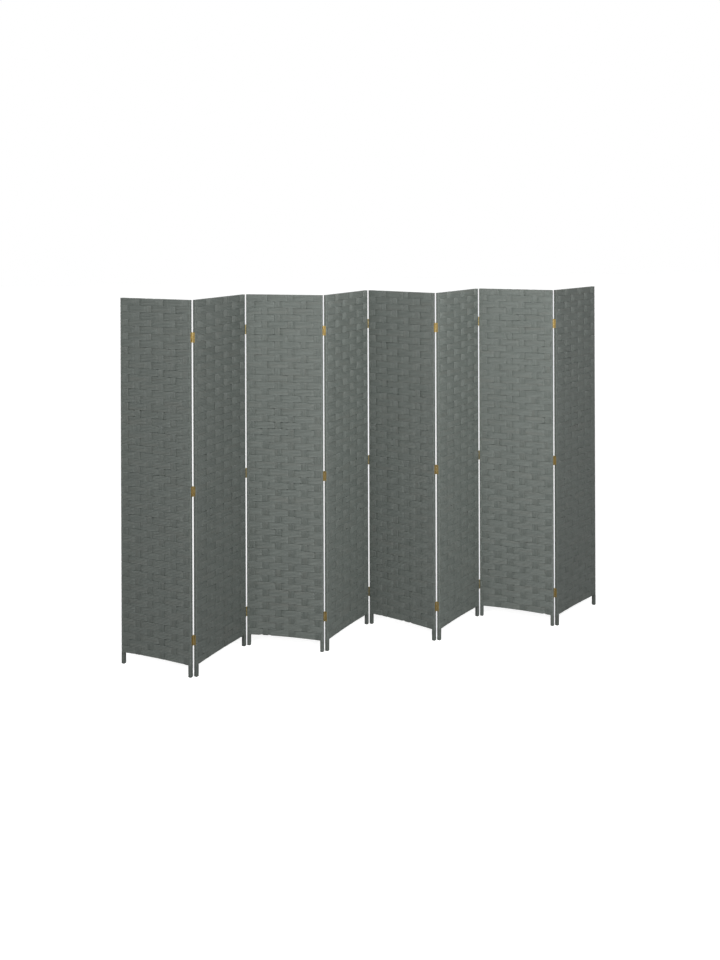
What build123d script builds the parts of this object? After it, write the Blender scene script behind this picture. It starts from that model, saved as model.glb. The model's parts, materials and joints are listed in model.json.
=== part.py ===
from build123d import *
import math
import os

# Eight-panel folding screen of woven paper cord on wooden frames, standing in a zigzag.
# Lengths are in millimetres and angles in degrees. A panel's own frame has X along its width from
# the left edge, the front face towards -Y, Y = 0 at mid-thickness and the floor at Z = 0.

# Panels
PANEL_COUNT = 8
PANEL_HEIGHT = 1800
PANEL_WIDTH = 404.5
LEG_HEIGHT = 57
ARCH_RISE = 4

# Frame of each panel
STILE_SIZE = 14
RAIL_THICKNESS = 10
RAIL_HEIGHT = 20
TENON_THICKNESS = 6
TENON_HEIGHT = 12
TENON_LENGTH = 8
JOINT_CLEARANCE = 0.1

# Woven cord: the mat, its cover over the rails, and the windings round the stiles
CORD_WRAP = 2
MAT_THICKNESS = 14
EDGE_ROUND = 4
FOOT_ROUND = 3.5

# Butt hinges
HINGE_HEIGHTS = [175, 885, 1620]
LEAF_HEIGHT = 48
LEAF_DEPTH = 13
LEAF_THICKNESS = 1.4
LEAF_SINK = 1
LEAF_CLEARANCE = 0.1
EDGE_GAP = 1.8
FACE_GAP = 0.9
KNUCKLE_COUNT = 5
KNUCKLE_RADIUS = 2.5
KNUCKLE_GAP = 0.3
KNUCKLE_SWING_CLEARANCE = 0.4
PIN_RADIUS = 1.4
PIN_CLEARANCE = 0.05
PIN_HEAD_RADIUS = 2.2
PIN_HEAD_HEIGHT = 1.2

# Countersunk screws, two in each leaf
SCREW_SPREAD = 28
SCREW_INSET = 7.5
SCREW_LENGTH = 12
SCREW_SHANK_RADIUS = 1.4
SCREW_HEAD_RADIUS = 2.7
SCREW_TIP_LENGTH = 2
SCREW_CLEARANCE = 0.05
DRIVE_SLOT_LENGTH = 3
DRIVE_SLOT_WIDTH = 0.5
DRIVE_SLOT_DEPTH = 0.6

# Angle between the two panels at each seam as the screen stands, seam 1-2 first
SEAM_OPENINGS = [95.7, 106.7, 109.1, 87.4, 93.1, 105.9, 111.8]

EDGE_DEPTH = STILE_SIZE + 2 * CORD_WRAP
LEFT, RIGHT = -1, 1
FRONT, REAR = -1, 1


def box_between(low, high):
    """A box from its lowest to its highest corner."""
    size = [b - a for a, b in zip(low, high)]
    return Pos(*low) * Box(*size, align=(Align.MIN, Align.MIN, Align.MIN))


def other_edge(solid):
    """The same piece at the right edge of the panel in place of the left."""
    return Pos(PANEL_WIDTH, 0, 0) * mirror(solid, about=Plane.YZ)


def barrel_face(seam):
    """The face that a seam's barrels lie on: the rear at seam 1-2, then by turns."""
    return REAR if seam % 2 == 1 else FRONT


def hinged_edges(panel):
    """Each edge of a panel that meets another one, with the face that its barrels lie on."""
    edges = []
    if panel > 1:
        edges.append((LEFT, barrel_face(panel - 1)))
    if panel < PANEL_COUNT:
        edges.append((RIGHT, barrel_face(panel)))
    return edges


def seated(solid, edge, face, height):
    """Bring a hinge piece from the hinge's frame to its place on a panel.

    The hinge's frame has the pin on its Z axis, at mid-height. The panel lies towards -X, its edge
    EDGE_GAP / 2 away and its face FACE_GAP away towards -Y.
    """
    if edge == LEFT:
        solid = mirror(solid, about=Plane.YZ)
    if face == FRONT:
        solid = mirror(solid, about=Plane.XZ)
    panel_edge = 0 if edge == LEFT else PANEL_WIDTH
    x = panel_edge + edge * EDGE_GAP / 2
    y = face * (EDGE_DEPTH / 2 + FACE_GAP)
    return Pos(x, y, height) * solid


def on_each_hinge(solids, panel):
    """Solids of one hinge, repeated at every hinge of a panel."""
    copies = []
    for edge, face in hinged_edges(panel):
        for height in HINGE_HEIGHTS:
            copies += [seated(solid, edge, face, height) for solid in solids]
    return copies


def arched_slab(left, right, low, high, thickness, top_is_arched):
    """An upright slab whose lower edge rises by ARCH_RISE at the middle of its span."""
    middle = (left + right) / 2
    lower = ThreePointArc((left, low), (middle, low + ARCH_RISE), (right, low))
    if top_is_arched:
        upper = ThreePointArc((right, high), (middle, high + ARCH_RISE), (left, high))
    else:
        upper = Line((right, high), (left, high))
    sides = [Line((right, low), (right, high)), Line((left, high), (left, low))]
    outline = make_face(Plane.XZ * Wire([lower, sides[0], upper, sides[1]]))
    return extrude(outline, amount=thickness / 2, both=True)


def stile_core():
    """The square wooden core of the left stile, above the leg."""
    side = STILE_SIZE / 2
    middle = EDGE_DEPTH / 2
    return box_between((middle - side, -side, LEG_HEIGHT), (middle + side, side, PANEL_HEIGHT))


def rail_levels():
    """The lower faces of the bottom rail, at its ends, and of the top rail."""
    return LEG_HEIGHT + CORD_WRAP, PANEL_HEIGHT - CORD_WRAP - RAIL_HEIGHT


def rail(level, arched, grow=0):
    """A rail between the stile cores, without its tenons."""
    left = CORD_WRAP + STILE_SIZE - grow
    right = PANEL_WIDTH - left
    low, high = level - grow, level + RAIL_HEIGHT + grow
    thickness = RAIL_THICKNESS + 2 * grow
    if arched:
        return arched_slab(left, right, low, high, thickness, top_is_arched=True)
    return box_between((left, -thickness / 2, low), (right, thickness / 2, high))


def tenon(level, grow=0):
    """The tenon at the left end of a rail."""
    shoulder = CORD_WRAP + STILE_SIZE
    side = TENON_THICKNESS / 2 + grow
    middle = level + RAIL_HEIGHT / 2
    half = TENON_HEIGHT / 2 + grow
    low = (shoulder - TENON_LENGTH - grow, -side, middle - half)
    return box_between(low, (shoulder, side, middle + half))


def make_rail(level, arched):
    """A rail with a tenon at each end."""
    left_tenon = tenon(level)
    return rail(level, arched) + left_tenon + other_edge(left_tenon)


def leaf_faces():
    """The back of a leaf, sunk into the cord of the panel's edge, and its outer face."""
    back = -EDGE_GAP / 2 - LEAF_SINK
    return back, back + LEAF_THICKNESS


def leaf_seat():
    """The shallow seat that a leaf presses into the cord, in the hinge's frame."""
    back, _ = leaf_faces()
    half = LEAF_HEIGHT / 2 + LEAF_CLEARANCE
    return [box_between((back, -FACE_GAP - LEAF_DEPTH - LEAF_CLEARANCE, -half), (0, 0, half))]


def screw_hole():
    """The hole that a screw cuts in the cord and the wood, in the hinge's frame."""
    radius = SCREW_SHANK_RADIUS + SCREW_CLEARANCE
    length = SCREW_LENGTH + SCREW_CLEARANCE
    _, start = leaf_faces()
    y = -FACE_GAP - SCREW_INSET
    return [
        Pos(start - length / 2, y, z) * Rot(0, 90, 0) * Cylinder(radius, length)
        for z in (-SCREW_SPREAD / 2, SCREW_SPREAD / 2)
    ]


def make_stile(edge, panel):
    """A stile: the square core in the weave, and the leg below it with a rounded foot."""
    leg = box_between((0, -EDGE_DEPTH / 2, 0), (EDGE_DEPTH, EDGE_DEPTH / 2, LEG_HEIGHT))
    leg = fillet(leg.edges().filter_by(Axis.Z), EDGE_ROUND)
    leg = fillet(leg.edges().group_by(Axis.Z)[0], FOOT_ROUND)
    stile = stile_core() + leg
    for level in rail_levels():
        stile -= tenon(level, JOINT_CLEARANCE)
    if edge == RIGHT:
        stile = other_edge(stile)
    for hole in on_each_hinge(screw_hole(), panel):
        stile -= hole
    return stile


def make_weave(panel):
    """The woven mat between the stiles and the cord wound round them, as one closed solid."""
    middle = EDGE_DEPTH / 2
    inner_edge = PANEL_WIDTH - EDGE_DEPTH
    mat = arched_slab(EDGE_DEPTH, inner_edge, LEG_HEIGHT, PANEL_HEIGHT, MAT_THICKNESS, False)
    winding = box_between((0, -middle, LEG_HEIGHT), (EDGE_DEPTH, middle, PANEL_HEIGHT))
    winding = fillet(winding.edges().filter_by(Axis.Z), EDGE_ROUND)
    winding -= stile_core()
    bottom_level, top_level = rail_levels()
    for pocket in (rail(bottom_level, True, JOINT_CLEARANCE), rail(top_level, False, JOINT_CLEARANCE)):
        mat -= pocket
        winding -= pocket
    weave = mat + winding + other_edge(winding)
    for cut in on_each_hinge(leaf_seat() + screw_hole(), panel):
        weave -= cut
    return weave


def knuckle_spans(outer):
    """The bottom and top of each knuckle that one leaf holds, the outer ones or those between."""
    pitch = LEAF_HEIGHT / KNUCKLE_COUNT
    return [
        (-LEAF_HEIGHT / 2 + n * pitch, -LEAF_HEIGHT / 2 + (n + 1) * pitch)
        for n in range(0 if outer else 1, KNUCKLE_COUNT, 2)
    ]


def upright_cylinder(radius, bottom, top):
    """A cylinder round the hinge's axis."""
    return Pos(0, 0, (bottom + top) / 2) * Cylinder(radius, top - bottom)


def make_leaf(outer):
    """A hinge leaf with its knuckles and countersunk holes, in the hinge's frame."""
    back, face = leaf_faces()
    half = LEAF_HEIGHT / 2
    leaf = box_between((back, -FACE_GAP - LEAF_DEPTH, -half), (face, 0, half))
    for bottom, top in knuckle_spans(not outer):
        leaf -= upright_cylinder(KNUCKLE_RADIUS + KNUCKLE_SWING_CLEARANCE, bottom, top)
    for bottom, top in knuckle_spans(outer):
        bottom += 0 if bottom == -half else KNUCKLE_GAP
        top -= 0 if math.isclose(top, half) else KNUCKLE_GAP
        leaf += upright_cylinder(KNUCKLE_RADIUS, bottom, top)
    leaf -= upright_cylinder(PIN_RADIUS + PIN_CLEARANCE, -LEAF_HEIGHT, LEAF_HEIGHT)
    for hole in screw_hole():
        leaf -= hole
    for sink in countersinks(SCREW_CLEARANCE):
        leaf -= sink
    return leaf


def countersinks(grow=0):
    """The cone under each screw's head, with its wide end at the leaf's outer face."""
    depth = SCREW_HEAD_RADIUS - SCREW_SHANK_RADIUS
    _, face_x = leaf_faces()
    y = -FACE_GAP - SCREW_INSET
    return [
        Pos(face_x - depth / 2, y, z)
        * Rot(0, 90, 0)
        * Cone(SCREW_SHANK_RADIUS + grow, SCREW_HEAD_RADIUS + grow, depth)
        for z in (-SCREW_SPREAD / 2, SCREW_SPREAD / 2)
    ]


def make_screws():
    """The two screws of a leaf, in the hinge's frame."""
    _, face_x = leaf_faces()
    tip_x = face_x - SCREW_LENGTH
    shank_length = SCREW_LENGTH - SCREW_TIP_LENGTH
    screws = []
    for cone in countersinks():
        centre = cone.center()
        along = Pos(0, centre.Y, centre.Z)
        shank = along * Pos(face_x - shank_length / 2, 0, 0) * Rot(0, 90, 0)
        tip = along * Pos(tip_x + SCREW_TIP_LENGTH / 2, 0, 0) * Rot(0, 90, 0)
        screw = cone + shank * Cylinder(SCREW_SHANK_RADIUS, shank_length)
        screw += tip * Cone(SCREW_SHANK_RADIUS / 4, SCREW_SHANK_RADIUS, SCREW_TIP_LENGTH)
        for turn in (0, 90):
            slot = Box(2 * DRIVE_SLOT_DEPTH, DRIVE_SLOT_LENGTH, DRIVE_SLOT_WIDTH)
            screw -= along * Pos(face_x, 0, 0) * Rot(turn, 0, 0) * slot
        screws.append(screw)
    return screws


def make_pin():
    """A hinge pin with a low head at each end, in the hinge's frame."""
    half = LEAF_HEIGHT / 2
    pin = upright_cylinder(PIN_RADIUS, -half, half)
    head = upright_cylinder(PIN_HEAD_RADIUS, half, half + PIN_HEAD_HEIGHT)
    head = fillet(head.edges().group_by(Axis.Z)[-1], PIN_HEAD_HEIGHT / 2)
    return pin + head + mirror(head, about=Plane.XY)


def rotated(x, y, heading):
    """A plan vector turned to a panel's heading."""
    c, s = math.cos(math.radians(heading)), math.sin(math.radians(heading))
    return x * c - y * s, x * s + y * c


def zigzag(first_heading):
    """The plan place and heading of each panel, and the plan place of each seam's axis."""
    panels = [(0, 0, first_heading)]
    axes = []
    for seam, opening in enumerate(SEAM_OPENINGS, start=1):
        x, y, heading = panels[-1]
        face = barrel_face(seam)
        reach = EDGE_DEPTH / 2 + FACE_GAP
        dx, dy = rotated(PANEL_WIDTH + EDGE_GAP / 2, face * reach, heading)
        axis = (x + dx, y + dy)
        heading += face * (180 - opening)
        dx, dy = rotated(-EDGE_GAP / 2, face * reach, heading)
        panels.append((axis[0] - dx, axis[1] - dy, heading))
        axes.append(axis)
    return panels, axes


def level_zigzag():
    """The zigzag turned so that its first and last edges lie on one line along X."""
    panels, axes = zigzag(0)
    x, y, heading = panels[-1]
    dx, dy = rotated(PANEL_WIDTH, 0, heading)
    return zigzag(-math.degrees(math.atan2(y + dy, x + dx)))


def panel_nodes(panel):
    """Every node of one panel, as lists of solids in the panel's own frame."""
    bottom_level, top_level = rail_levels()
    outer = panel % 2 == 0
    nodes = {
        "left_stile": [make_stile(LEFT, panel)],
        "right_stile": [make_stile(RIGHT, panel)],
        "bottom_rail": [make_rail(bottom_level, True)],
        "top_rail": [make_rail(top_level, False)],
        "weave": [make_weave(panel)],
        "hinge_leaves": on_each_hinge([make_leaf(outer)], panel),
        "hinge_screws": on_each_hinge(make_screws(), panel),
    }
    if outer:
        nodes["hinge_pins"] = on_each_hinge([make_pin()], panel)
    return nodes


def placed_nodes():
    """Every node of the screen where it stands, and the plan place of each seam's axis.

    The origin is on the floor, at the middle of the screen's bounding box.
    """
    panels, axes = level_zigzag()
    nodes = {}
    for panel, (x, y, heading) in enumerate(panels, start=1):
        place = Pos(x, y, 0) * Rot(0, 0, heading)
        for name, solids in panel_nodes(panel).items():
            nodes[f"panel_{panel}_{name}"] = [place * solid for solid in solids]
    weaves = Compound([solids[0] for name, solids in nodes.items() if name.endswith("weave")])
    middle = weaves.bounding_box().center()
    to_origin = Pos(-middle.X, -middle.Y, 0)
    nodes = {name: [to_origin * solid for solid in solids] for name, solids in nodes.items()}
    return nodes, [(x - middle.X, y - middle.Y) for x, y in axes]


screen_nodes, seam_axes = placed_nodes()
os.makedirs("parts", exist_ok=True)
for node_name, node_solids in screen_nodes.items():
    node = node_solids[0] if len(node_solids) == 1 else Compound(node_solids)
    export_step(node, f"parts/{node_name}.step")
for seam_number, (axis_x, axis_y) in enumerate(seam_axes, start=1):
    print(f"seam {seam_number}-{seam_number + 1} axis at x {axis_x:.3f}, y {axis_y:.3f}")
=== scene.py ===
import json
import math
import random

import bpy
import numpy as np
from mathutils import Matrix, Vector

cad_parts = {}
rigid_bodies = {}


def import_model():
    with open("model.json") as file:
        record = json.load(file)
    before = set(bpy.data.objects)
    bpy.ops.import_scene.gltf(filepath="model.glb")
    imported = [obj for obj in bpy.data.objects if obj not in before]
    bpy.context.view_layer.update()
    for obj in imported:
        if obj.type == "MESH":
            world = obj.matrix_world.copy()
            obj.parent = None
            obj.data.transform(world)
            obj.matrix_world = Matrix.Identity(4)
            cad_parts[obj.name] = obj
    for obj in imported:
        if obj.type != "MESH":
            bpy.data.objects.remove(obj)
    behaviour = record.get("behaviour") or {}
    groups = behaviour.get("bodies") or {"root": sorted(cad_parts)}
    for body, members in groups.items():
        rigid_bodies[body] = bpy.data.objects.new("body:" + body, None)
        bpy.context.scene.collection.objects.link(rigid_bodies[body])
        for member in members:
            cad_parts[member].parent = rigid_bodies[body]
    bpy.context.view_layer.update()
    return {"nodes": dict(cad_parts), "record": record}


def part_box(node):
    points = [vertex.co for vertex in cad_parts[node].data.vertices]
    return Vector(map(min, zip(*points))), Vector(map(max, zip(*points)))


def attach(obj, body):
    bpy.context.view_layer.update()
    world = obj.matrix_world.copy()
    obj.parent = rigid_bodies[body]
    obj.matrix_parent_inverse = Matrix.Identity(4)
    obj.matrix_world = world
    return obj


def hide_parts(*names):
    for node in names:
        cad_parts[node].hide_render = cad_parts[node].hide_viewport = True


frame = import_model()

# Lengths are in metres. A panel is modelled in its own frame, X along its width from the left edge,
# the front towards -Y, Y = 0 at mid-thickness, and then brought to its place in the zigzag. A depth
# is a distance from mid-thickness towards either face.
MM = 0.001
PANEL_COUNT = 8
PANEL_WIDTH = 404.5 * MM
PANEL_HEIGHT = 1800 * MM
LEG_HEIGHT = 57 * MM
ARCH_RISE = 4 * MM
ARCH_REACH = 140 * MM
EDGE_DEPTH = 18 * MM
STILE_SIZE = 14 * MM
STILE_ARRIS = 1 * MM
STILE_LIFT = 5 * MM
EDGE_ROUND = 3 * MM
EDGE_TURN_STEPS = 3
EDGE_GAP = 1.8 * MM
FACE_GAP = 0.9 * MM

# The weave: rows of weft cords over and under upright bundles of warp cords
ROWS = 51
ROW_HEIGHT = (PANEL_HEIGHT - LEG_HEIGHT) / ROWS
CORDS_IN_ROW = 5
CORDS_IN_BUNDLE = 5
CORD_PITCH = ROW_HEIGHT / CORDS_IN_ROW
BUNDLE_WIDTH = 29 * MM
BUNDLE_PITCH = BUNDLE_WIDTH / CORDS_IN_BUNDLE
BUNDLE_OFFSETS = [34.5 * MM, 103.5 * MM, 172.5 * MM]
BUNDLES = sorted(PANEL_WIDTH / 2 + side * offset for offset in BUNDLE_OFFSETS for side in (-1, 1))

# Each cord is a low arch: where it rises and where its crest starts, as shares of the cord's pitch
CORD_FOOT = 0.03
CORD_SHOULDER = 0.27
GROOVE = 1.8 * MM
INNER_DEPTH = 1 * MM

# The weft dives under a bundle between these distances from the square's edge
WEFT_EDGE_DEPTH = 8.8 * MM
WEFT_OVER_DEPTH = 9 * MM
WEFT_BESIDE_DEPTH = 8.9 * MM
WEFT_BETWEEN_DEPTH = 8.5 * MM
WEFT_UNDER_DEPTH = 5.8 * MM
WEFT_MARGIN = 8 * MM
SLIT_LENGTH = 18 * MM
DIVE_START = 3 * MM
DIVE_END = -1.5 * MM

# The warp rises to its square over each second row, as (height above the row's lower edge, depth)
WARP_DEPTH = 8.9 * MM
WARP_END_DEPTH = 5.2 * MM
WARP_RISE = [(-3 * MM, WARP_END_DEPTH), (0.8 * MM, WARP_DEPTH - 0.3 * MM), (3.5 * MM, WARP_DEPTH)]

# Slack cord inside the panel, seen only as the dark of the slits
HIDDEN_MARGIN = 3 * MM
HIDDEN_THICKNESS = 1.6 * MM
HIDDEN_ROUND = 0.4 * MM

# How unevenly it is woven by hand. Waves are (height, length, axis). Near an edge the cords lie still.
CORD_UNEVENNESS = 0.2 * MM
SPARE_CORDS = 8
SLIT_SPREAD = 0.24
SLACK_AT_TOP = 0.3
SLACK_AT_FOOT = 1.2
ROW_SAG = 0.14 * MM
ROW_LEAN = 0.3 * MM
STILL_EDGE = 25 * MM
WAVES = [
    (0.7 * MM, 210 * MM, 2), (0.5 * MM, 90 * MM, 2), (0.4 * MM, 45 * MM, 2),
    (0.7 * MM, 120 * MM, 0), (0.3 * MM, 50 * MM, 1),
]

# The winding of a leg, and the rounded foot under it as (distance in from the side, height)
LEG_CORDS = 8
LEG_FIRST_TURN = 0.3
LEG_CORD_SHOULDER = 0.35
LEG_TURN_STEPS = 3
FOOT = [(3 * MM, 0), (1.1 * MM, 0.9 * MM), (0.3 * MM, 3 * MM)]

MERGE_DISTANCE = 0.02 * MM
SAME_PLACE = 0.01 * MM
SMOOTH_ANGLE = math.radians(62)

# Colours of the cord, and the painted light and shade: how much lighter or darker each panel, the legs and
# the upright cords are painted for how the light falls on them
CORD_DARK = (0.058, 0.071, 0.063)
CORD_LIGHT = (0.2, 0.223, 0.206)
CORD_WARM = (0.160, 0.152, 0.132)
CORD_TWIST = 9 * MM
# Painted light: each panel's cord painted lighter or darker for how much light falls on it
PANEL_PAINTED_LIGHT = [0.93, 0.88, 1.07, 1.13, 0.94, 1.15, 1.1, 0.87]
# Painted shade: the wound legs near the floor painted darker than the cord above
LEG_PAINTED_SHADE = 0.84
# Painted sheen and shade: the upright cords painted darker towards the foot than at the top, for how the
# light from above falls on them
UPRIGHT_PAINTED_SHEEN = (0.94, 1)
LEAF_BRASS = (0.6, 0.48, 0.23)
SCREW_BRASS = (0.5, 0.38, 0.18)
WOOD_DARK = (0.36, 0.26, 0.16)
WOOD_LIGHT = (0.52, 0.41, 0.28)

# Shifts of the cord's pattern, so that it does not repeat on the back, the warp or another panel
BACK_SHIFT = 0.7
DEPTH_SHARE = 0.5
UPRIGHT_SHIFT = (3.1, 0)
PANEL_SHIFT = (2.3, 1.7)

# The photograph's viewpoint and the studio: each softbox is (place, aim, size, watts)
LENS = 37.03
VIEW_SHIFT = -0.2691
EYE = (-1.5231, -4.9304, 2.1703)
EYE_TURN = (90, 0.206, -16.161)
FLOOR_SIZE = 60
FLOOR_SEEN = 0.9
FLOOR_BOUNCE = 0.4
FLOOR_GLOW = 0.76
AMBIENT = 0.28
SOFTBOXES = {
    "front_left": ((-3.6, -3.4, 2.5), (-0.3, 0, 1.1), (1.8, 1.6), 59),
    "near_left": ((-0.9, -2.6, 2.2), (-0.5, 0, 1.3), (1, 1), 13),
    "near_right": ((0.9, -2.6, 2.2), (0.6, 0, 1.3), (1, 1), 40),
    "over_front": ((0.2, -1.8, 3.2), (0, 0, 1.1), (3, 1), 15),
    "over_left": ((-1.7, -1.7, 3.0), (-0.6, 0, 1.2), (1, 1), 10),
}


class Socket:
    """A shader socket that Python's arithmetic works on."""

    def __init__(self, shading, socket):
        self.shading = shading
        self.socket = socket

    def __add__(self, other):
        return self.shading.math("ADD", self, other)

    def __sub__(self, other):
        return self.shading.math("SUBTRACT", self, other)

    def __mul__(self, other):
        return self.shading.math("MULTIPLY", self, other)


class Shading:
    """The nodes of one material or world. node() adds any node; the rest are shorthands for it."""

    def __init__(self, tree):
        self.tree = tree

    def first(self, kind):
        return next(n for n in self.tree.nodes if n.type == kind)

    def plug(self, socket, value):
        if isinstance(value, Socket):
            self.tree.links.new(value.socket, socket)
        else:
            socket.default_value = value

    def node(self, kind, sockets, settings=None, output=0):
        node = self.tree.nodes.new(kind)
        for name, value in (settings or {}).items():
            setattr(node, name, value)
        for name, value in sockets.items():
            self.plug(node.inputs[name], value)
        return Socket(self, node.outputs[output])

    def math(self, operation, *values):
        return self.node("ShaderNodeMath", dict(enumerate(values)), {"operation": operation})

    def noise(self, vector, scale, detail):
        sockets = {"Vector": vector, "Scale": scale, "Detail": detail}
        return self.node("ShaderNodeTexNoise", sockets)

    def stretched(self, vector, scale):
        return self.node("ShaderNodeMapping", {"Vector": vector, "Scale": scale})

    def mix(self, factor, first, second):
        """A mix of two colours, which are sockets 6 and 7 of the node and come out of its socket 2."""
        sockets = {0: factor}
        for index, colour in ((6, first), (7, second)):
            sockets[index] = (*colour, 1.0) if isinstance(colour, tuple) else colour
        return self.node("ShaderNodeMix", sockets, {"data_type": "RGBA"}, output=2)

    def bump(self, height, distance):
        return self.node("ShaderNodeBump", {"Distance": distance, "Height": height})


class Finish(Shading):
    """A material under construction."""

    def __init__(self, name):
        self.material = bpy.data.materials.new(name)
        self.material.use_nodes = True
        super().__init__(self.material.node_tree)
        self.shader = self.first("BSDF_PRINCIPLED")

    def surface(self, **sockets):
        for name, value in sockets.items():
            self.plug(self.shader.inputs[name.replace("_", " ")], value)
        return self.material


def paper_cord():
    """Twisted paper cord, grey-green: each cord a little lighter or darker, with its twist in the bump."""
    finish = Finish("paper_cord")
    along = finish.node("ShaderNodeUVMap", {}, {"uv_map": "cord"})
    length = finish.node("ShaderNodeSeparateXYZ", {0: along}, output=0)
    across = finish.node("ShaderNodeSeparateXYZ", {0: along}, output=1)
    cord_tone = finish.noise(finish.stretched(along, (9.0, 146.0, 1.0)), 1.0, 1.0)
    patch_tone = finish.noise(along, 7.0, 2.0)
    fibre_tone = finish.noise(finish.stretched(along, (260.0, 900.0, 1.0)), 1.0, 3.0)
    tone = cord_tone * 0.5 + patch_tone * 0.2 + fibre_tone * 0.3
    light = finish.mix(tone, CORD_DARK, CORD_LIGHT)
    warm = finish.noise(finish.stretched(along, (4.0, 60.0, 1.0)), 1.0, 0.0)
    colour_before_painted_light = finish.mix((warm - 0.45) * 0.5, light, CORD_WARM)
    # Painted light and shade: the colour is scaled by a per-point attribute that paints each panel lighter
    # or darker, the legs darker and the upright cords darker towards the foot
    painted_light = finish.node("ShaderNodeAttribute", {}, {"attribute_name": "painted_light"}, output="Fac")
    colour = finish.node("ShaderNodeVectorMath", {0: colour_before_painted_light, "Scale": painted_light}, {"operation": "SCALE"})
    twist = finish.math("SINE", length * (2 * math.pi / CORD_TWIST) + across * (2 * math.pi / CORD_PITCH))
    normal = finish.bump(twist * 0.5 + fibre_tone * 0.8, 0.35 * MM)
    roughness = fibre_tone * 0.2 + 0.48
    return finish.surface(Base_Color=colour, Roughness=roughness, Specular_IOR_Level=0.55, Normal=normal)


def bare_wood():
    """Pale softwood with its grain, for the rails inside the weave."""
    finish = Finish("rail_wood")
    place = finish.node("ShaderNodeTexCoord", {}, output="Object")
    grain = finish.noise(finish.stretched(place, (12.0, 12.0, 220.0)), 1.0, 4.0)
    colour = finish.mix(grain, WOOD_DARK, WOOD_LIGHT)
    return finish.surface(Base_Color=colour, Roughness=0.7, Normal=finish.bump(grain, 0.2 * MM))


def satin_brass(name, tint):
    """Satin brass, a little darker and rougher in patches."""
    finish = Finish(name)
    place = finish.node("ShaderNodeTexCoord", {}, output="Object")
    patches = finish.noise(place, 160.0, 4.0)
    scratches = finish.noise(finish.stretched(place, (900.0, 900.0, 60.0)), 1.0, 2.0)
    dark = tuple(part * 0.72 for part in tint)
    colour = finish.mix(patches, dark, tint)
    roughness = patches * 0.22 + scratches * 0.1 + 0.22
    normal = finish.bump(scratches, 0.04 * MM)
    return finish.surface(Base_Color=colour, Metallic=1.0, Roughness=roughness, Normal=normal)


def edit(obj):
    """Open one object alone in edit mode."""
    if bpy.context.object and bpy.context.object.mode != "OBJECT":
        bpy.ops.object.mode_set(mode="OBJECT")
    bpy.ops.object.select_all(action="DESELECT")
    bpy.context.view_layer.objects.active = obj
    obj.select_set(True)
    bpy.ops.object.mode_set(mode="EDIT")


def close_edit():
    bpy.ops.object.mode_set(mode="OBJECT")


def extrude(step):
    bpy.ops.mesh.extrude_region_move(TRANSFORM_OT_translate={"value": step})


def select_points(obj, wanted):
    """Select, in edit mode, the points that a test picks."""
    bpy.ops.mesh.select_all(action="DESELECT")
    close_edit()
    for point in obj.data.vertices:
        point.select = wanted(point.co)
    bpy.ops.object.mode_set(mode="EDIT")


def merge_doubles():
    bpy.ops.mesh.select_all(action="SELECT")
    bpy.ops.mesh.remove_doubles(threshold=MERGE_DISTANCE)


def drawn_line(name, points):
    """A new object that holds one line of points, drawn by extruding the first."""
    bpy.ops.object.select_all(action="DESELECT")
    bpy.ops.mesh.primitive_plane_add(size=MM, location=(0, 0, 0))
    obj = bpy.context.object
    obj.name = name
    edit(obj)
    bpy.ops.mesh.select_all(action="SELECT")
    bpy.ops.mesh.merge(type="CENTER")
    bpy.ops.transform.translate(value=points[0])
    for start, end in zip(points, points[1:]):
        extrude(Vector(end) - Vector(start))
    bpy.ops.mesh.select_all(action="SELECT")
    return obj


def block(name, size, centre):
    """A plain box, as a new object with its scale applied."""
    bpy.ops.mesh.primitive_cube_add(size=1, location=centre)
    obj = bpy.context.object
    obj.name = name
    obj.scale = size
    bpy.ops.object.transform_apply(location=True, rotation=False, scale=True)
    return obj


def joined(objs, name):
    """Several objects as one."""
    bpy.ops.object.select_all(action="DESELECT")
    for obj in objs:
        obj.select_set(True)
    bpy.context.view_layer.objects.active = objs[0]
    bpy.ops.object.join()
    objs[0].name = name
    return objs[0]


def stacked(obj, count, step):
    """An object repeated up the panel by an applied Array modifier."""
    edit(obj)
    close_edit()
    array = obj.modifiers.new("rows", "ARRAY")
    array.count = count
    array.use_relative_offset = False
    array.use_constant_offset = True
    array.constant_offset_displace = (0, 0, step)
    bpy.ops.object.modifier_apply(modifier=array.name)
    return obj


def both_sides(obj):
    """A front and a copy of it turned half round, which is the back."""
    back = obj.copy()
    back.data = obj.data.copy()
    bpy.context.collection.objects.link(back)
    middle = Matrix.Translation((PANEL_WIDTH / 2, 0, 0))
    back.data.transform(middle @ Matrix.Rotation(math.pi, 4, "Z") @ middle.inverted())
    return joined([obj, back], obj.name)


def facing_out(obj):
    """Turn the faces of an open band the right way: its wide faces look away from mid-thickness."""
    mesh = obj.data
    score = sum(face.normal.y * face.center.y * face.area for face in mesh.polygons)
    if score < 0:
        mesh.flip_normals()
    return obj


def cord_outline(cords, pitch, crest, flange):
    """Points across a flat band of cords, as (across, depth): each cord a low arch, with a flange inwards
    at either side."""
    points = [(0, flange)]
    for cord in range(cords):
        points.append(((cord + CORD_FOOT) * pitch, crest - GROOVE))
        points.append(((cord + CORD_SHOULDER) * pitch, crest))
        points.append(((cord + 1 - CORD_SHOULDER) * pitch, crest))
    points.append(((cords - CORD_FOOT) * pitch, crest - GROOVE))
    points.append((cords * pitch, flange))
    return points


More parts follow.
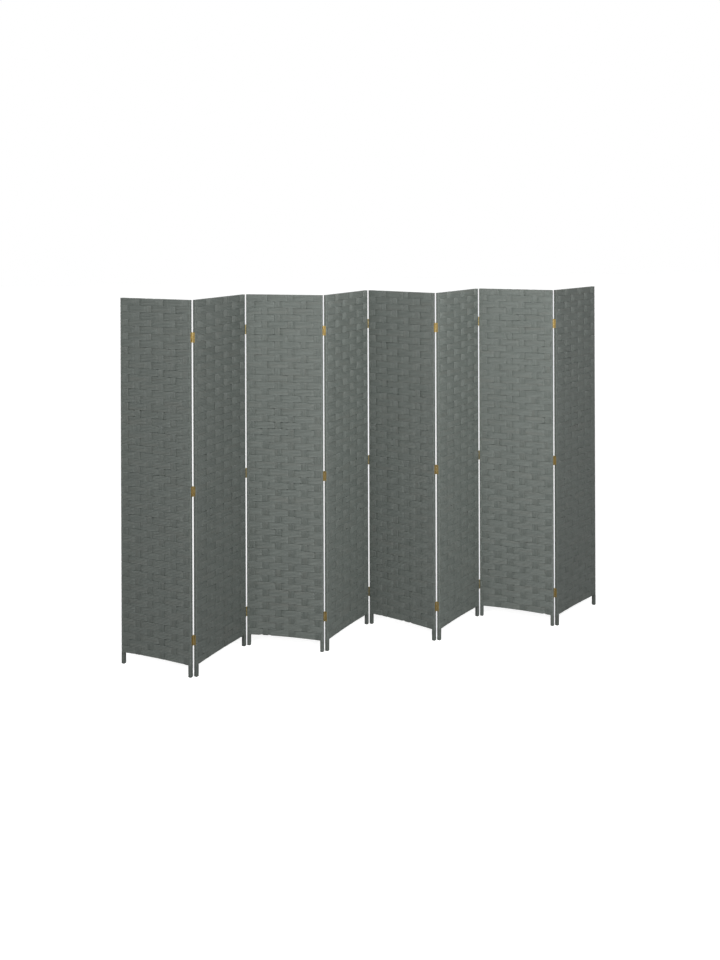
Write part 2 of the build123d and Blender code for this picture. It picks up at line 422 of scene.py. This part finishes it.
def weft_run(dives_at_even):
    """The way of one row across the front of a panel, as (x, depth) of the cords' crests."""
    run = [(EDGE_ROUND, WEFT_EDGE_DEPTH)]
    half = BUNDLE_WIDTH / 2
    dive = [(half + SLIT_LENGTH, WEFT_BESIDE_DEPTH), (half + DIVE_START, WEFT_BETWEEN_DEPTH)]
    dive.append((half + DIVE_END, WEFT_UNDER_DEPTH))
    for index, x in enumerate(BUNDLES):
        if (index % 2 == 0) == dives_at_even:
            run += [(x - away, depth) for away, depth in dive]
            run += [(x + away, depth) for away, depth in reversed(dive)]
        else:
            run += [(x - half / 2, WEFT_OVER_DEPTH), (x + half / 2, WEFT_OVER_DEPTH)]
    first, last = WEFT_MARGIN, PANEL_WIDTH - WEFT_MARGIN
    run[1:] = [(min(max(x, first), last), depth) for x, depth in run[1:]]
    run.append((PANEL_WIDTH - EDGE_ROUND, WEFT_EDGE_DEPTH))
    return run


def weft_row(name, low, dives_at_even):
    """Half of one row: across the front and round both edges to mid-thickness."""
    run = weft_run(dives_at_even)
    outline = cord_outline(CORDS_IN_ROW, CORD_PITCH, run[0][1], INNER_DEPTH)
    row = drawn_line(name, [(run[0][0], -depth, low + across) for across, depth in outline])
    for (x, depth), (next_x, next_depth) in zip(run, run[1:]):
        extrude((next_x - x, depth - next_depth, 0))
    corner_y = EDGE_ROUND - WEFT_EDGE_DEPTH
    turn = {"steps": EDGE_TURN_STEPS, "axis": (0, 0, 1)}
    bpy.ops.mesh.spin(angle=-math.pi / 2, center=(PANEL_WIDTH - EDGE_ROUND, corner_y, 0), **turn)
    extrude((0, -corner_y, 0))
    select_points(row, lambda p: abs(p.x - EDGE_ROUND) < SAME_PLACE)
    bpy.ops.mesh.spin(angle=math.pi / 2, center=(EDGE_ROUND, corner_y, 0), **turn)
    extrude((0, -corner_y, 0))
    close_edit()
    return row


def warp_square(name, x, low):
    """One bundle where it passes over a row: upright cords that dive in above and below it."""
    outline = cord_outline(CORDS_IN_BUNDLE, BUNDLE_PITCH, WARP_END_DEPTH, INNER_DEPTH)
    left = x - BUNDLE_WIDTH / 2
    rise = WARP_RISE + [(ROW_HEIGHT - at, depth) for at, depth in reversed(WARP_RISE)]
    square = drawn_line(name, [(left + across, -depth, low + rise[0][0]) for across, depth in outline])
    for (at, depth), (next_at, next_depth) in zip(rise, rise[1:]):
        extrude((0, depth - next_depth, next_at - at))
    close_edit()
    return square


def woven_master(make_upper, make_lower, name):
    """The rows of a whole panel, front and back, from the two kinds of row that alternate."""
    upper = make_upper(PANEL_HEIGHT - ROW_HEIGHT)
    lower = make_lower(PANEL_HEIGHT - 2 * ROW_HEIGHT)
    unit = facing_out(joined(upper + lower, name))
    stacked(unit, (ROWS + 1) // 2, -2 * ROW_HEIGHT)
    edit(unit)
    select_points(unit, lambda p: p.z < LEG_HEIGHT - 4 * MM)
    bpy.ops.mesh.select_linked()
    bpy.ops.mesh.delete(type="VERT")
    close_edit()
    both_sides(unit)
    edit(unit)
    merge_doubles()
    close_edit()
    bpy.ops.object.shade_smooth_by_angle(angle=SMOOTH_ANGLE)
    return unit


def hidden_cords():
    """The thickness of cord between the front and the back, seen only as the dark of the slits."""
    low, high = LEG_HEIGHT + ARCH_RISE + HIDDEN_MARGIN, PANEL_HEIGHT - HIDDEN_MARGIN
    size = (PANEL_WIDTH - 2 * STILE_SIZE, HIDDEN_THICKNESS, high - low)
    slab = block("hidden_cords", size, (PANEL_WIDTH / 2, 0, (low + high) / 2))
    edit(slab)
    bpy.ops.mesh.bevel(offset=HIDDEN_ROUND, segments=1)
    close_edit()
    return slab


def weft_master():
    rows = woven_master(
        lambda low: [weft_row("weft_upper", low, False)],
        lambda low: [weft_row("weft_lower", low, True)],
        "weft",
    )
    return joined([rows, hidden_cords()], "weft")


def warp_master():
    return woven_master(
        lambda low: [warp_square("warp_upper", x, low) for x in BUNDLES[1::2]],
        lambda low: [warp_square("warp_lower", x, low) for x in BUNDLES[0::2]],
        "warp",
    )


def leg_outline():
    """Up one side of a leg, as (depth, height): the rounded foot and then one arch for each cord."""
    side = EDGE_DEPTH / 2
    pitch = LEG_HEIGHT / (LEG_CORDS + LEG_FIRST_TURN)
    outline = [(side - inwards, height) for inwards, height in FOOT]
    for cord in range(LEG_CORDS):
        low = (cord + LEG_FIRST_TURN) * pitch
        outline.append((side - GROOVE / 2, low))
        outline.append((side, low + LEG_CORD_SHOULDER * pitch))
        outline.append((side, low + (1 - LEG_CORD_SHOULDER) * pitch))
    outline.append((side - GROOVE / 2, LEG_HEIGHT - 0.2 * MM))
    outline.append((INNER_DEPTH + side / 2, LEG_HEIGHT))
    return outline


def leg_master():
    """The left stile's core and its leg, wound with cord down to a rounded foot."""
    side = EDGE_DEPTH / 2
    leg = drawn_line("leg", [(EDGE_ROUND, -depth, z) for depth, z in leg_outline()])
    flat = EDGE_DEPTH - 2 * EDGE_ROUND
    corners = [(1, -1, (1, 0)), (1, 1, (0, 1)), (-1, 1, (-1, 0)), (-1, -1, (0, -1))]
    for across, through, (run_x, run_y) in corners:
        extrude((run_x * flat, run_y * flat, 0))
        centre = (side + across * flat / 2, through * flat / 2, 0)
        bpy.ops.mesh.spin(steps=LEG_TURN_STEPS, angle=-math.pi / 2, axis=(0, 0, 1), center=centre)
    merge_doubles()
    select_points(leg, lambda p: p.z < SAME_PLACE)
    bpy.ops.mesh.edge_face_add()
    merge_doubles()
    bpy.ops.mesh.normals_make_consistent(inside=False)
    close_edit()
    bpy.ops.object.shade_smooth_by_angle(angle=SMOOTH_ANGLE)
    core_size = (STILE_SIZE, STILE_SIZE, PANEL_HEIGHT - STILE_LIFT)
    core = block("core", core_size, (side, 0, (PANEL_HEIGHT + STILE_LIFT) / 2))
    bevel = core.modifiers.new("arris", "BEVEL")
    bevel.width = STILE_ARRIS
    bevel.segments = 2
    bpy.ops.object.modifier_apply(modifier=bevel.name)
    return joined([leg, core], "leg")


def coordinates(mesh):
    flat = np.empty(len(mesh.vertices) * 3)
    mesh.vertices.foreach_get("co", flat)
    return flat.reshape(-1, 3)


def arch_lift(x):
    """How far the panel's lower edge rises at x."""
    across = (x - EDGE_DEPTH) / (PANEL_WIDTH - 2 * EDGE_DEPTH)
    return ARCH_RISE * np.clip(4 * across * (1 - across), 0, 1)


def drawn_together(points, rows, chance):
    """Beside a square the cords of its row draw together, more at some than at others and most near the
    foot, which leaves the short dark slits between the rows."""
    middle = PANEL_HEIGHT - (rows + 0.5) * ROW_HEIGHT
    for index, x in enumerate(BUNDLES):
        pulls = [max(0, chance.gauss(-SLIT_SPREAD / 4, SLIT_SPREAD)) for _ in range(ROWS)]
        pull = np.array(pulls) * np.linspace(SLACK_AT_TOP, SLACK_AT_FOOT, ROWS)
        front_square = (rows + index) % 2 == 1
        is_square = np.where(points[:, 1] < 0, front_square, ~front_square)
        away = np.abs(points[:, 0] - x) - BUNDLE_WIDTH / 2
        near = np.clip(1 - away / SLIT_LENGTH, 0, 1) * is_square
        points[:, 2] -= (points[:, 2] - middle) * np.minimum(pull[rows], SLIT_SPREAD) * near


def hand_woven(points, panel, upright):
    """Arch the lowest rows, let rows and cords wander a little, and keep to the panel's height."""
    chance = random.Random(panel)
    x, z = points[:, 0].copy(), points[:, 2].copy()
    pitch = BUNDLE_PITCH if upright else CORD_PITCH
    cord = np.floor((x if upright else PANEL_HEIGHT - z) / pitch).astype(int)
    relief = np.array([chance.gauss(0, CORD_UNEVENNESS) for _ in range(cord.max() + SPARE_CORDS)])
    inside = np.clip(np.minimum(x, PANEL_WIDTH - x) / STILL_EDGE, 0, 1)
    ends = np.clip(np.minimum(PANEL_HEIGHT - z, z - LEG_HEIGHT) / STILL_EDGE, 0, 1)
    rows = np.clip(((PANEL_HEIGHT - z) / ROW_HEIGHT).astype(int), 0, ROWS - 1)
    points[:, 1] += np.sign(points[:, 1]) * inside * np.abs(relief[cord])
    if not upright:
        drawn_together(points, rows, chance)
    for amount, size, axis in WAVES:
        wave_x = 2 * math.pi / size * chance.uniform(0.6, 1.2)
        wave_z = 2 * math.pi / size * chance.uniform(0.5, 1.5)
        phase = chance.uniform(0, 2 * math.pi)
        points[:, axis] += amount * inside * ends * np.sin(wave_x * x + wave_z * z + phase)
    sag = np.array([chance.gauss(0, ROW_SAG) for _ in range(ROWS)])
    lean = np.array([chance.gauss(0, ROW_LEAN) for _ in range(ROWS)])
    points[:, 2] += inside * ends * (sag[rows] + lean[rows] * (x / PANEL_WIDTH - 0.5))
    near_foot = np.clip(1 - (z - LEG_HEIGHT) / ARCH_REACH, 0, 1)
    points[:, 2] += arch_lift(x) * near_foot
    points[:, 2] = np.clip(points[:, 2], LEG_HEIGHT + arch_lift(x), PANEL_HEIGHT)


def unchanged(points, panel, upright):
    """For a piece that is the same on every panel."""


def give_cord_map(mesh, points, upright, panel):
    """A UV map in metres, along the cord and across it, so that the cord's pattern follows it."""
    uv = mesh.uv_layers.new(name="cord")
    corners = np.empty(len(mesh.loops), dtype=np.int32)
    mesh.loops.foreach_get("vertex_index", corners)
    around = points[:, 0] + np.where(points[:, 1] > 0, BACK_SHIFT, 0) + points[:, 1] * DEPTH_SHARE
    flat = np.stack([around, points[:, 2]], 1)
    if upright:
        flat = flat[:, ::-1] + UPRIGHT_SHIFT
    flat = flat + (panel * PANEL_SHIFT[0], panel * PANEL_SHIFT[1])
    uv.data.foreach_set("uv", flat[corners].ravel())
    # Painted light and shade for the cord's colour: each panel lighter or darker, the wound legs darker
    # and the upright cords darker towards the foot
    painted_light = mesh.attributes.new("painted_light", "FLOAT", "POINT")
    leg_painted_shade = np.where(points[:, 2] < LEG_HEIGHT - 0.5 * MM, LEG_PAINTED_SHADE, 1)
    upright_painted_sheen = np.interp(points[:, 2], (LEG_HEIGHT, PANEL_HEIGHT), UPRIGHT_PAINTED_SHEEN) if upright else 1
    painted_light.data.foreach_set("value", PANEL_PAINTED_LIGHT[panel - 1] * leg_painted_shade * upright_painted_sheen)


def panel_places():
    """Where each panel stands: a matrix from the panel's frame to the screen's."""
    joints = {j["name"]: j for j in frame["record"]["behaviour"]["joints"]}
    reach = EDGE_DEPTH / 2 + FACE_GAP
    places = {}
    for panel in range(1, PANEL_COUNT + 1):
        low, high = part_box(f"panel_{panel}_weave")
        centre = (Vector(low) + Vector(high)) / 2
        edge, seam = (1, panel) if panel < PANEL_COUNT else (-1, panel - 1)
        axis = Vector(joints[f"seam_{seam}_{seam + 1}_hinge"]["pos_m"])
        face = 1 if seam % 2 else -1
        local = Vector((edge * (PANEL_WIDTH + EDGE_GAP) / 2, face * reach))
        seen = Vector((axis.x - centre.x, axis.y - centre.y))
        heading = math.atan2(seen.y, seen.x) - math.atan2(local.y, local.x)
        turn = Matrix.Rotation(heading, 4, "Z")
        to_centre = Matrix.Translation((-PANEL_WIDTH / 2, 0, 0))
        places[panel] = Matrix.Translation((centre.x, centre.y, 0)) @ turn @ to_centre
    return places


def placed_copy(master, name, panel, place, upright, shape):
    """A copy of a master for one panel, with its own mesh, brought to its place."""
    mesh = master.data.copy()
    piece = bpy.data.objects.new(name, mesh)
    bpy.context.collection.objects.link(piece)
    points = coordinates(mesh)
    give_cord_map(mesh, points, upright, panel)
    shape(points, panel, upright)
    mesh.vertices.foreach_set("co", points.ravel())
    mesh.transform(place)
    mesh.update()
    mesh.materials.clear()
    mesh.materials.append(cord_finish)
    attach(piece, f"panel_{panel}")
    return piece


def dress_panel(panel, place, masters):
    """The cords and wound legs of one panel."""
    weft = placed_copy(masters["weft"], f"panel_{panel}_weft", panel, place, False, hand_woven)
    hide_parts(f"panel_{panel}_weave")
    placed_copy(masters["warp"], f"panel_{panel}_warp", panel, place, True, hand_woven)
    half_turn = Matrix.Translation((PANEL_WIDTH, 0, 0)) @ Matrix.Rotation(math.pi, 4, "Z")
    for side, move in (("left", Matrix.Identity(4)), ("right", half_turn)):
        name = f"panel_{panel}_{side}_wound_stile"
        stile = placed_copy(masters["leg"], name, panel, place @ move, False, unchanged)
        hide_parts(f"panel_{panel}_{side}_stile")


def finish_cad_nodes():
    """Materials for the pieces that keep their own solids: rails, hinge leaves, pins and screws."""
    brass = satin_brass("hinge_brass", LEAF_BRASS)
    screw = satin_brass("screw_brass", SCREW_BRASS)
    wood = bare_wood()
    for name, node in frame["nodes"].items():
        finish = None
        if name.endswith("rail"):
            finish = wood
        elif name.endswith("screws"):
            finish = screw
        elif "hinge" in name:
            finish = brass
        if finish:
            for material_slot in node.material_slots:
                material_slot.material = finish


def camera():
    """The photograph's viewpoint: level, left of the middle, with the view shifted down."""
    data = bpy.data.cameras.new("camera")
    data.lens = LENS
    data.sensor_width = 36
    data.shift_y = VIEW_SHIFT
    eye = bpy.data.objects.new("camera", data)
    bpy.context.collection.objects.link(eye)
    eye.location = EYE
    eye.rotation_euler = [math.radians(turn) for turn in EYE_TURN]
    bpy.context.scene.camera = eye


def softbox(name, place, aim, size, power):
    data = bpy.data.lights.new(name, "AREA")
    data.shape = "RECTANGLE"
    data.size, data.size_y = size
    data.energy = power
    lamp = bpy.data.objects.new(name, data)
    bpy.context.collection.objects.link(lamp)
    lamp.location = place
    lamp.rotation_euler = (Vector(aim) - Vector(place)).to_track_quat("-Z", "Y").to_euler()


def white_floor():
    """A floor that keeps the object's faint shadow: lit, with a glow that only the camera sees."""
    bpy.ops.object.select_all(action="DESELECT")
    bpy.ops.mesh.primitive_plane_add(size=FLOOR_SIZE, location=(0, 0, 0))
    floor = bpy.context.object
    floor.name = "floor"
    finish = Finish("floor")
    seen = finish.node("ShaderNodeLightPath", {}, output="Is Camera Ray")
    pale = finish.mix(seen, (FLOOR_BOUNCE,) * 3, (FLOOR_SEEN,) * 3)
    finish.surface(Base_Color=pale, Roughness=0.9)
    glow = finish.node("ShaderNodeEmission", {"Color": (1, 1, 1, 1), "Strength": seen * FLOOR_GLOW})
    lit = Socket(finish, finish.shader.outputs[0])
    both = finish.node("ShaderNodeAddShader", {0: lit, 1: glow})
    finish.plug(finish.first("OUTPUT_MATERIAL").inputs["Surface"], both)
    floor.data.materials.append(finish.material)


def white_surround():
    """White to the camera and to reflections, and dimmer as a light."""
    world = bpy.data.worlds.new("studio")
    world.use_nodes = True
    bpy.context.scene.world = world
    shading = Shading(world.node_tree)
    rays = [
        shading.node("ShaderNodeLightPath", {}, output=f"Is {kind} Ray")
        for kind in ("Camera", "Glossy", "Transmission")
    ]
    clear = shading.math("MAXIMUM", shading.math("MAXIMUM", rays[0], rays[1]), rays[2])
    level = shading.node("ShaderNodeMapRange", {"Value": clear, "To Min": AMBIENT})
    background = shading.first("BACKGROUND")
    shading.plug(background.inputs["Strength"], level)
    shading.plug(background.inputs["Color"], (1, 1, 1, 1))


def studio():
    """A white floor, a white surround and soft light."""
    white_floor()
    white_surround()
    for name, (place, aim, size, power) in SOFTBOXES.items():
        softbox(name, place, aim, size, power)
    bpy.context.scene.view_settings.view_transform = "Standard"


camera()
studio()
cord_finish = paper_cord()
master_pieces = {"weft": weft_master(), "warp": warp_master(), "leg": leg_master()}
for number, standing_place in panel_places().items():
    dress_panel(number, standing_place, master_pieces)
for master_piece in master_pieces.values():
    bpy.data.objects.remove(master_piece)
finish_cad_nodes()
